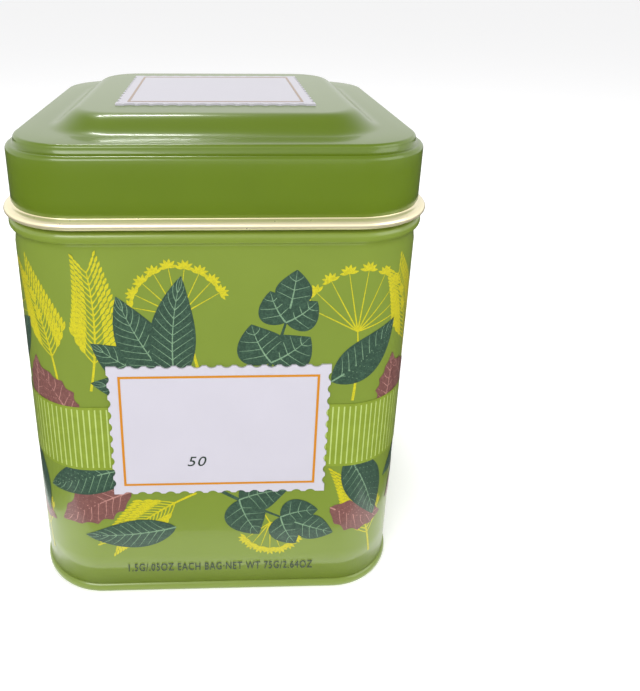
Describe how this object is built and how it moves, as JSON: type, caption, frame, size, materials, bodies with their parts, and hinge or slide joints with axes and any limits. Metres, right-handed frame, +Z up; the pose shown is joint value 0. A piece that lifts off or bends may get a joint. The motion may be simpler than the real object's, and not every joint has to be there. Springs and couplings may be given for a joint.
{
  "type": "tea tin",
  "caption": "Square green tea tin with rounded corners, a stepped rolled-edge lid and scalloped labels; shut.",
  "frame": {"origin": "middle of the rim the tin stands on, at its lowest plane", "axes": "+Z up, front face towards -Y, +X to the right seen from the front"},
  "size_m": [0.11, 0.11, 0.1402],
  "materials": {
    "green_lacquer": "gloss litho print and lacquer on tinplate",
    "label_print": "satin white print"
  },
  "bodies": {
    "root": {"bottom_end": "green_lacquer", "tin_body": "green_lacquer", "lid": "green_lacquer", "front_label": "label_print", "lid_label": "label_print"}
  },
  "joints": []
}
